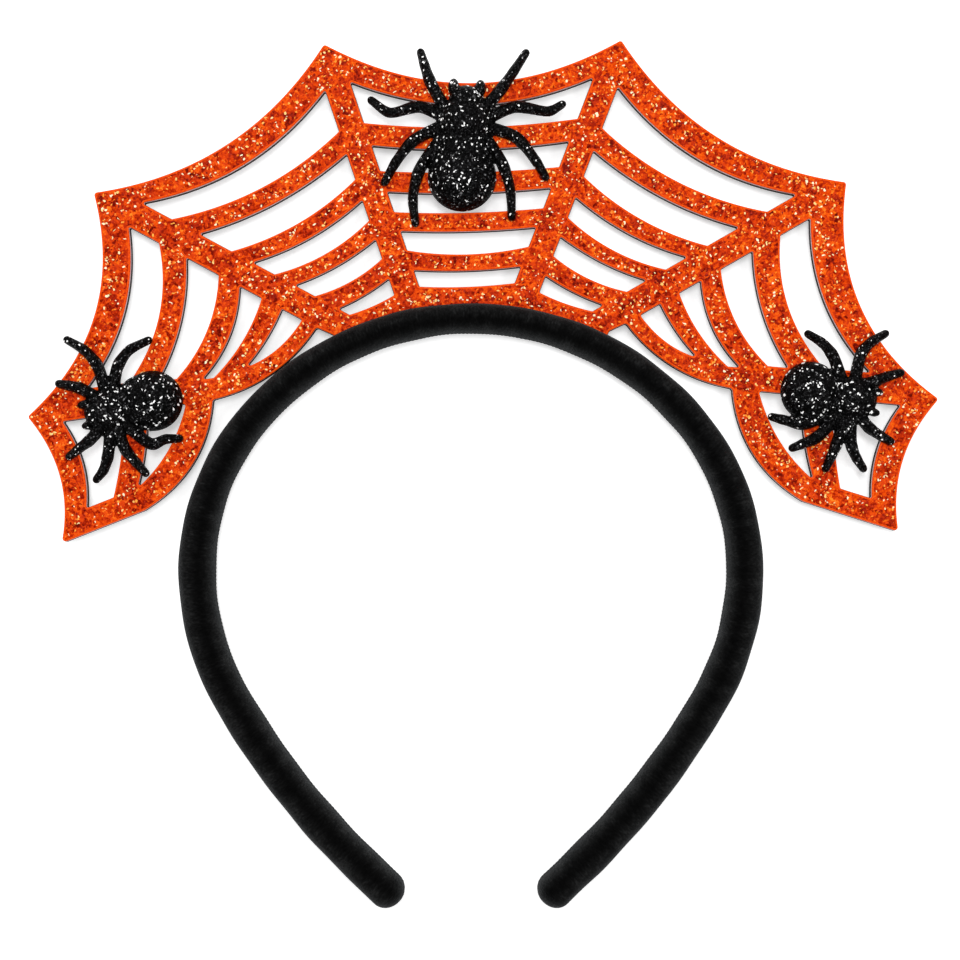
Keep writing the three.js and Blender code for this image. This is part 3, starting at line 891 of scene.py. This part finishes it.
    def loops(self, margin: float = 0.0) -> list[Points]:
        """The outline and all the gaps, as far out as a margin says, in the frame's own axes."""
        crown = self.crown
        gaps = [self.gap((crown, Hand.LEFT, Edge.ABOVE, ring), (crown, Hand.RIGHT, Edge.ABOVE, ring), sags)
                for ring, sags in zip(crown.rings, self.crown_sags)]
        bays = ((self.crown, self.crown.rings, self.shoulder, self.shoulder_sags),
                (self.shoulder, self.shoulder.rings, self.side, self.side_sags),
                (self.side, self.side.wing_rings, self.rail, self.wing_sags))
        gaps += [self.gap((upper, hand, Edge.BELOW, ring), (lower, hand, Edge.ABOVE, lower_ring), sags)
                 for hand in Hand for upper, rings, lower, all_sags in bays
                 for ring, lower_ring, sags in zip(rings, lower.rings, all_sags)]
        return [turn(inset(loop, -margin), self.lean) for loop in [self.outline(), *gaps]]

    def sheet(self, name: str, loops: list[Points], profile: list[tuple[float, float]]) -> Piece:
        """Builds a pierced sheet: a profile carried round every edge, and a level face at each end of it.

        Args:
            name: The object's name.
            loops: The outline and the gaps.
            profile: From the back face to the front face, how far in from the edge and how high.

        Returns:
            The object. Its level faces come after its edges' quads.
        """
        rows = [np.vstack([inset(loop, draw) for loop in loops]) for draw, _ in profile]
        points = np.vstack([np.c_[row, np.full(len(row), height)] for row, (_, height) in zip(rows, profile)])
        ends = np.cumsum([len(loop) for loop in loops])
        count = ends[-1]
        after = np.arange(1, count + 1)
        after[ends - 1] = [0, *ends[:-1]]
        edges = np.stack([np.arange(count), after], axis=1)
        faces = [np.c_[edges, edges[:, ::-1] + count] + row * count for row in range(len(rows) - 1)]
        for row, front in ((0, False), (len(rows) - 1, True)):
            places = rows[row]
            _, _, flat, origin, _, _ = delaunay_2d_cdt(places.tolist(), edges.tolist(), [], 0, 1e-7)
            triangles = np.array([ids[0] for ids in origin])[np.array(flat)]
            triangles = triangles[within(places[triangles].mean(axis=1), np.split(places, ends[:-1]))]
            start = places[triangles[:, 0]]
            one, two = places[triangles[:, 1]] - start, places[triangles[:, 2]] - start
            agrees = (one[:, 0] * two[:, 1] > two[:, 0] * one[:, 1]) == front
            faces.append(np.where(agrees[:, None], triangles, triangles[:, ::-1]) + row * count)
        piece = new_piece(name, points, *faces)
        piece.data.set_sharp_from_angle(angle=math.radians(50))
        return piece

    def build_face(self) -> Piece:
        """Builds the glitter sheet: a pale cut edge, a rounded orange rim, and glitter inside it."""
        loops = self.loops()
        back, front, rim = self.face_back, self.face_front, self.rim
        profile = [(0.05, back), (0.0, back + 0.08), (0.02, front - 0.4), (0.06, front - 0.16),
                   (rim * 0.5, front - 0.04), (rim, front)]
        piece = self.sheet("web_glitter_sheet", loops, profile)
        for finish in (OrangeGlitter(), ORANGE_RIM, CUT_FOAM):
            piece.data.materials.append(finish.material())
        glitter, pressed, cut = range(3)
        ring = sum(len(loop) for loop in loops)
        polygons = piece.data.polygons
        normals = np.empty(len(polygons) * 3, dtype=np.float32)
        polygons.foreach_get("normal", normals)
        slots = np.full(len(polygons), glitter, dtype=np.int32)
        slots[:2 * ring] = cut
        slots[2 * ring:5 * ring] = pressed
        slots[5 * ring:][normals[2::3][5 * ring:] < -0.5] = cut
        polygons.foreach_set("material_index", slots)
        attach(piece, "root")
        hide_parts("web_face")
        return piece

    def build_backing(self) -> Piece:
        """Builds the felt behind the glitter sheet, a hair wider than it, so that it shows as a dark line."""
        back, front = self.backing_back, self.backing_front
        profile = [(0.2, back), (0.03, back + 0.2), (0.0, back + 0.9), (0.03, front - 0.15), (0.15, front)]
        piece = self.sheet("web_felt", self.loops(self.backing_margin), profile)
        piece.data.materials.append(FELT.material())
        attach(piece, "root")
        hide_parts("web_backing")
        return piece

    def build_flakes(self) -> Piece:
        """Scatters loose flakes over the sheet, most of them orange and some cream, the cream ones painted
        glints.
        """
        rng = np.random.default_rng(31)
        loops = [inset(loop, self.rim + self.flake_margin) for loop in self.loops()]
        low, high = loops[0].min(axis=0), loops[0].max(axis=0)
        tries = rng.uniform(low, high, (self.flake_tries, 2))
        covered = self.band.crown_radius + self.band.crown_thickness / 2 + self.band_margin
        free = np.hypot(*(tries + [0, self.band.crown_radius]).T) > covered
        tries = tries[free & within(tries, loops)]
        count = len(tries)
        share, swing = self.cream_glint_share
        # Painted glints: cream and light orange flakes where the glitter would catch the light.
        cream_glint = rng.uniform(size=count) < share + swing * swarm(tries, (1.13, 0.37, 0.97))
        long = either(rng, cream_glint, self.cream_glint_mm, self.orange_mm)
        radii = np.stack([long, long * rng.uniform(0.3, 0.8, count)], axis=1)
        tone = either(rng, cream_glint, self.cream_glint_tones, self.orange_tones)
        lean = rng.normal(0, 0.2, (count, 2))
        normals = unit(np.c_[lean, np.ones(count)])
        height = self.face_front + 0.02 + radii[:, 0] * np.hypot(*lean.T) * 0.5
        piece = Flakes().build("web_flakes", np.c_[tries, height], normals, radii, tone, rng)
        # Tones above about 0.6 paint glints in light orange and cream.
        piece.data.materials.append(LooseFlakes("orange_flakes_and_glints", (
            (0.0, (0.17, 0.003, 0.0002)), (0.22, (0.42, 0.015, 0.0004)), (0.42, (0.72, 0.055, 0.001)),
            (0.6, (0.92, 0.16, 0.006)), (0.72, (1.0, 0.42, 0.06)), (0.84, (1.0, 0.72, 0.27)),
            (0.94, (1.0, 0.9, 0.6)),
        )).material())
        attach(piece, "root")
        return piece


# The spiders


@dataclass
class Spider:
    """Moulded spider with a flat underside, one skin over eggs for its body and tubes for its legs."""

    name: str
    web: Web
    at: tuple[float, float]
    turned: float
    length: float
    abdomen: float
    legs: tuple[Joints, ...]
    seed: int
    lumps: tuple[tuple[float, ...], ...] = (
        (0, 0.17, 0.14, 0.12, 0.13), (-0.106, 0.27, 0.044, 0.07, 0.09), (0.106, 0.27, 0.044, 0.07, 0.09),
        (0, 0, 0.215, 0.2, 0.175), (0, -0.21, 0.225, 0.2, 0.145))
    tail: float = 0.712
    abdomen_height: float = 0.72
    root_width: float = 3.4
    tip_width: float = 2.15
    leg_height: float = 2.1
    knuckles: tuple[tuple[float, float, float], ...] = ((0.09, 0.4, 0.08), (0.07, 0.72, 0.07))
    slack: float = 0.8
    glue_gap: float = 0.3
    skin_mm: float = 0.24
    flake_density: float = 7.6
    # Painted glints: the share, size and tones of the near white flakes.
    glint_share: tuple[float, float] = (0.25, 0.16)
    leg_share: float = 0.1
    leg_shrink: float = 0.66
    glint_mm: tuple[float, float] = (0.27, 0.56)
    dull_mm: tuple[float, float] = (0.1, 0.22)
    glint_tones: tuple[float, float] = (0.7, 1)
    dull_tones: tuple[float, float] = (0, 0.64)
    dull_power: float = 1.45

    def eggs(self) -> Points:
        """Middle (x, y), half width, half length and height of each lump, in millimetres, n by 5."""
        radius = self.abdomen * self.length
        abdomen = [0, -(self.tail * self.length - radius), radius, radius, self.abdomen_height * radius]
        return np.vstack([np.array(self.lumps) * self.length, abdomen])

    def leg_path(self, joints: Joints, count: int) -> Points:
        """Places along a leg's smooth line through its joints.

        Between two joints the line is a cubic whose end slopes come from the joints before and after,
        weighed by the square roots of their distances.

        Args:
            joints: The leg's joints as shares of the spider's length.
            count: How many places to give for each span.

        Returns:
            The places, n by 2.
        """
        knots = np.array(joints) * self.length
        knots = np.vstack([2 * knots[0] - knots[1], knots, 2 * knots[-1] - knots[-2]])
        parts = []
        t = np.linspace(0, 1, count, endpoint=False)[:, None]
        for start, into, span, on in zip(knots[1:], *(np.diff(knots, axis=0)[k:] for k in range(3))):
            w0, w1, w2 = (math.sqrt(np.linalg.norm(step)) for step in (into, span, on))
            out = (into / w0 - (into + span) / (w0 + w1) + span / w1) * w1 * self.slack
            back = (span / w1 - (span + on) / (w1 + w2) + on / w2) * w1 * self.slack
            parts.append(start + out * t + (3 * span - 2 * out - back) * t ** 2
                         + (out + back - 2 * span) * t ** 3)
        return np.vstack([*parts, knots[-2][None]])

    def leg_size(self, share: np.ndarray) -> tuple[np.ndarray, np.ndarray]:
        """Half width and height of a leg at shares of its length: tapered, thick at the knee and ankle."""
        knuckle = 1 + sum(swell * np.exp(-((share - at) / long) ** 2) for swell, at, long in self.knuckles)
        width = (self.root_width + (self.tip_width - self.root_width) * share) * knuckle
        return width / 2, self.leg_height * (1 + 0.2 * np.sin(np.pi * share)) * (1.08 - 0.2 * share)

    def leg(self, joints: Joints) -> Solid:
        """One leg: a half round section carried along its line, drawn to a round at the foot.

        At each station the section's angle a gives half the width times cos a across, and the height
        times sin a up, or nothing where that is under the flat side.

        Args:
            joints: The leg's joints.

        Returns:
            Points, quads and triangles, closed.
        """
        path = self.leg_path(joints, 14)
        ahead = unit(np.gradient(path, axis=0))
        share = np.linspace(0, 1, len(path))
        half, high = self.leg_size(share)
        closing = np.radians([25, 50, 70, 84])
        path = np.vstack([path, path[-1] + ahead[-1] * (half[-1] * np.sin(closing))[:, None]])
        ahead = np.vstack([ahead, np.repeat(ahead[-1:], len(closing), axis=0)])
        half = np.concatenate([half, half[-1] * np.cos(closing)])
        high = np.concatenate([high, high[-1] * np.cos(closing) ** 0.7])
        angle = np.linspace(0, 2 * np.pi, 16, endpoint=False)
        side = np.stack([-ahead[:, 1], ahead[:, 0]], axis=1)
        flat = path[:, None] - side[:, None] * (half[:, None] * np.cos(angle))[..., None]
        up = np.outer(high, np.maximum(np.sin(angle), 0))
        return tube(np.concatenate([flat, up[..., None]], axis=2))

    def egg(self, x: float, y: float, wide: float, long: float, high: float) -> Solid:
        """Half an egg on a flat base: rings whose size falls as a power of cos a and rise as sin a."""
        lift = np.linspace(0, np.pi / 2, 13, endpoint=False)[:, None]
        angle = np.linspace(0, 2 * np.pi, 48, endpoint=False)
        size = np.cos(lift) ** 0.9
        rings = np.broadcast_arrays(x + wide * size * np.cos(angle), y + long * size * np.sin(angle),
                                    high * np.sin(lift))
        return tube(np.stack(rings, axis=2), ends=[[x, y, 0], [x, y, high]])

    def height(self, places: Points) -> tuple[np.ndarray, np.ndarray]:
        """Height of the skin over places in the spider's own axes.

        An egg's height is its own times the root of 1 less its distance, in half sizes, squared, and a
        leg's is the same across its line. The skin is the highest of them.

        Args:
            places: Points of n by 2, in millimetres.

        Returns:
            The body's height and the legs' height there.
        """
        x, y, wide, long, high = self.eggs().T
        away = ((places[:, :1] - x) / wide) ** 2 + ((places[:, 1:] - y) / long) ** 2
        body = (high * np.sqrt(np.maximum(1 - away, 0)) ** 0.95).max(axis=1)
        legs = np.zeros(len(places))
        for joints in self.legs:
            path = self.leg_path(joints, 12)
            half, tall = self.leg_size(np.linspace(0, 1, len(path)))
            off = np.linalg.norm(places[:, None] - path[None], axis=2) / half
            nearest = off.argmin(axis=1)
            near = off[np.arange(len(places)), nearest]
            legs = np.maximum(legs, tall[nearest] * np.sqrt(np.maximum(1 - near ** 2, 0)))
        return body, legs

    def put(self, points: Points) -> Points:
        """Moves points of n by 3 from the spider's own axes to its seat on the web."""
        seat = np.array(self.at) * [self.web.half_span, self.web.rise]
        flat = turn(turn(points[:, :2], self.turned) + seat, self.web.lean)
        return np.c_[flat, points[:, 2] + self.web.face_front + self.glue_gap]

    def build(self) -> Piece:
        """Joins the lumps and legs under one remeshed, smoothed skin."""
        shapes = [self.egg(*egg) for egg in self.eggs()] + [self.leg(joints) for joints in self.legs]
        firsts = np.cumsum([0, *(len(points) for points, *_ in shapes[:-1])])
        points = self.put(np.concatenate([points for points, *_ in shapes]))
        faces = [part + first for (_, *parts), first in zip(shapes, firsts) for part in parts]
        piece = new_piece(self.name + "_skin", points, *faces)
        skin = piece.modifiers.new("skin", "REMESH")
        skin.mode = "VOXEL"
        skin.voxel_size = self.skin_mm * MM
        skin.use_smooth_shade = True
        soften = piece.modifiers.new("soften", "SMOOTH")
        soften.factor = 0.5
        soften.iterations = 3
        piece.data.materials.append(BlackGlitter().material())
        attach(piece, "root")
        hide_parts(self.name)
        return piece

    def build_flakes(self) -> Piece:
        """Scatters silver flakes over the skin, close on the body and sparse on the legs, the whitest painted
        as glints.
        """
        rng = np.random.default_rng(self.seed)
        reach = 0.86 * self.length
        tries = rng.uniform(-reach, reach, (round(self.flake_density * reach ** 2), 2))
        body, legs = self.height(tries)
        keep = (body > 0.5) | (legs > 0.5)
        places, on_body = tries[keep], body[keep] > legs[keep]
        step = 0.05
        top = np.maximum(*self.height(places))
        slope = np.stack([np.maximum(*self.height(places + [step, 0])) - top,
                          np.maximum(*self.height(places + [0, step])) - top], axis=1) / step
        count = len(places)
        slope = np.clip(slope, -2.5, 2.5) + rng.normal(0, 0.22, (count, 2))
        # Painted glints: a share of the flakes are near white where the glitter would catch the light.
        share, swing = self.glint_share
        share = np.where(on_body, share + swing * swarm(places, (1.9, 0.7, 1.6)), self.leg_share)
        glinting = rng.uniform(size=count) < share
        long = either(rng, glinting, self.glint_mm, self.dull_mm) * np.where(on_body, 1, self.leg_shrink)
        tone = either(rng, glinting, self.glint_tones, self.dull_tones)
        tone = np.where(glinting, tone, tone ** self.dull_power)
        normals = unit(np.c_[-slope, np.ones(count)])
        centres = np.c_[places, top + 0.02]
        ahead = self.put(centres + normals) - self.put(centres)
        radii = np.stack([long, long * rng.uniform(0.62, 1, count)], axis=1)
        piece = Flakes().build(self.name + "_flakes", self.put(centres), ahead, radii, tone, rng)
        # The top stops paint the glints white.
        piece.data.materials.append(LooseFlakes(self.name + "_silver_glints", (
            (0.0, 0.001), (0.3, (0.012, 0.012, 0.013)), (0.5, (0.11, 0.11, 0.115)), (0.66, 0.7),
            (0.78, (1, 1, 0.99)),
        )).material())
        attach(piece, "root")
        return piece


def spiders(web: Web) -> list[Spider]:
    """The three spiders on the web, each with its own pose."""
    return [
        Spider("spider_centre", web, (-0.007, 0.708), -3.9, 31.5, 0.273, (
            ((-0.14, 0.06), (-0.29, 0.3), (-0.34, 0.42), (-0.38, 0.53)),
            ((-0.14, 0.02), (-0.37, 0.1), (-0.6, 0.04), (-0.75, 0.13)),
            ((-0.14, -0.02), (-0.4, -0.17), (-0.52, -0.33), (-0.61, -0.51)),
            ((-0.14, -0.08), (-0.34, -0.4), (-0.38, -0.62), (-0.35, -0.82)),
            ((0.12, 0.08), (0.26, 0.26), (0.35, 0.4), (0.45, 0.57)),
            ((0.14, 0.02), (0.39, 0.14), (0.66, 0.12), (0.76, 0.18)),
            ((0.14, -0.02), (0.41, -0.1), (0.57, -0.27), (0.66, -0.4)),
            ((0.14, -0.08), (0.31, -0.31), (0.385, -0.51), (0.41, -0.73)),
        ), 7),
        Spider("spider_right", web, (0.825, -0.31), -100.1, 24.3, 0.31, (
            ((-0.12, 0.04), (-0.21, 0.23), (-0.28, 0.35), (-0.34, 0.48)),
            ((-0.12, 0.03), (-0.47, 0.05), (-0.6, 0.13), (-0.71, 0.26)),
            ((-0.12, -0.08), (-0.4, -0.235), (-0.505, -0.35), (-0.58, -0.52)),
            ((0.08, 0.06), (0.26, 0.24), (0.33, 0.38), (0.37, 0.49)),
            ((0.14, 0.04), (0.47, 0.1), (0.59, 0.17), (0.69, 0.26)),
            ((0.14, 0), (0.48, -0.05), (0.61, -0.08), (0.75, -0.12)),
            ((0.12, -0.04), (0.45, -0.26), (0.54, -0.39), (0.6, -0.49)),
            ((0.14, -0.1), (0.34, -0.42), (0.33, -0.63), (0.32, -0.75)),
        ), 8),
        Spider("spider_left", web, (-0.787, -0.314), 101.1, 25, 0.304, (
            ((-0.1, 0.08), (-0.25, 0.28), (-0.31, 0.4), (-0.37, 0.52)),
            ((-0.12, 0.04), (-0.44, 0.14), (-0.57, 0.21), (-0.65, 0.3)),
            ((-0.12, 0), (-0.41, -0.04), (-0.55, -0.11), (-0.69, -0.19)),
            ((-0.12, -0.06), (-0.42, -0.31), (-0.4, -0.45), (-0.42, -0.59)),
            ((0.1, 0.08), (0.27, 0.27), (0.32, 0.37), (0.36, 0.47)),
            ((0.12, 0.03), (0.46, 0.06), (0.63, 0.15), (0.77, 0.3)),
            ((0.12, -0.02), (0.41, -0.14), (0.54, -0.28), (0.6, -0.49)),
            ((0.1, -0.06), (0.2, -0.22), (0.24, -0.34), (0.22, -0.46)),
        ), 9),
    ]


# The studio


@dataclass
class Studio:
    """Pale floor, soft light and the camera straight above the headband."""

    aim: tuple[float, float] = (2.25, -40.5)
    camera_height: float = 487.0
    lens: float = 72.0
    sensor: float = 36.0
    floor_half: float = 2500.0
    sky: float = 0.46
    lamps: tuple[tuple[str, tuple[float, float, float], float, float], ...] = (
        ("top", (0, 0.1, 0.9), 0.2, 3.2), ("key", (-0.28, 0.42, 0.85), 0.55, 2.9),
        ("fill", (0.35, -0.1, 0.75), 0.14, 1.0))

    def build(self) -> None:
        """Builds the floor, the lights and the camera."""
        corners = np.array([[-1, -1, 0], [1, -1, 0], [1, 1, 0], [-1, 1, 0]]) * self.floor_half
        floor = new_piece("floor", corners, np.array([[0, 1, 2, 3]]))
        floor.data.materials.append(PaleFloor().material())
        world = bpy.data.worlds.new("studio")
        world.use_nodes = True
        background = world.node_tree.nodes["Background"]
        background.inputs["Color"].default_value = (1, 1, 1, 1)
        background.inputs["Strength"].default_value = self.sky
        bpy.context.scene.world = world
        bpy.context.scene.view_settings.view_transform = "Standard"
        for lamp in self.lamps:
            self.light(*lamp)
        data = bpy.data.cameras.new("camera")
        data.lens = self.lens
        data.sensor_width = self.sensor
        data.clip_start = 0.01
        camera = bpy.data.objects.new("camera", data)
        camera.location = (self.aim[0] * MM, self.aim[1] * MM, self.camera_height * MM)
        bpy.context.scene.collection.objects.link(camera)
        bpy.context.scene.camera = camera

    def light(self, name: str, place: tuple[float, float, float], size: float, watts: float) -> None:
        """Adds a square soft light that faces the headband.

        Args:
            name: The light's name.
            place: Where it hangs, in metres.
            size: Its side, in metres.
            watts: Its power.
        """
        data = bpy.data.lights.new(name, "AREA")
        data.size = size
        data.energy = watts
        lamp = bpy.data.objects.new(name, data)
        lamp.location = place
        towards = np.array([self.aim[0] * MM, self.aim[1] * MM, 0]) - place
        flat = math.hypot(towards[0], towards[1])
        lamp.rotation_euler = (math.atan2(flat, -towards[2]), 0, math.atan2(-towards[0], towards[1]))
        bpy.context.scene.collection.objects.link(lamp)


def report(piece: Piece) -> None:
    """Logs a piece's name and how many faces it has before its modifiers."""
    LOG.info("%s: %d faces", piece.name, len(piece.data.polygons))


def main() -> None:
    """Builds the studio and each sub-assembly in turn."""
    logging.basicConfig(level=logging.INFO, format="%(name)s %(message)s")
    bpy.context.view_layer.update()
    Studio().build()
    band = Band()
    report(band.build())
    web = Web(band)
    for build in (web.build_backing, web.build_face, web.build_flakes):
        report(build())
    for spider in spiders(web):
        report(spider.build())
        report(spider.build_flakes())


if __name__ == "__main__":
    main()
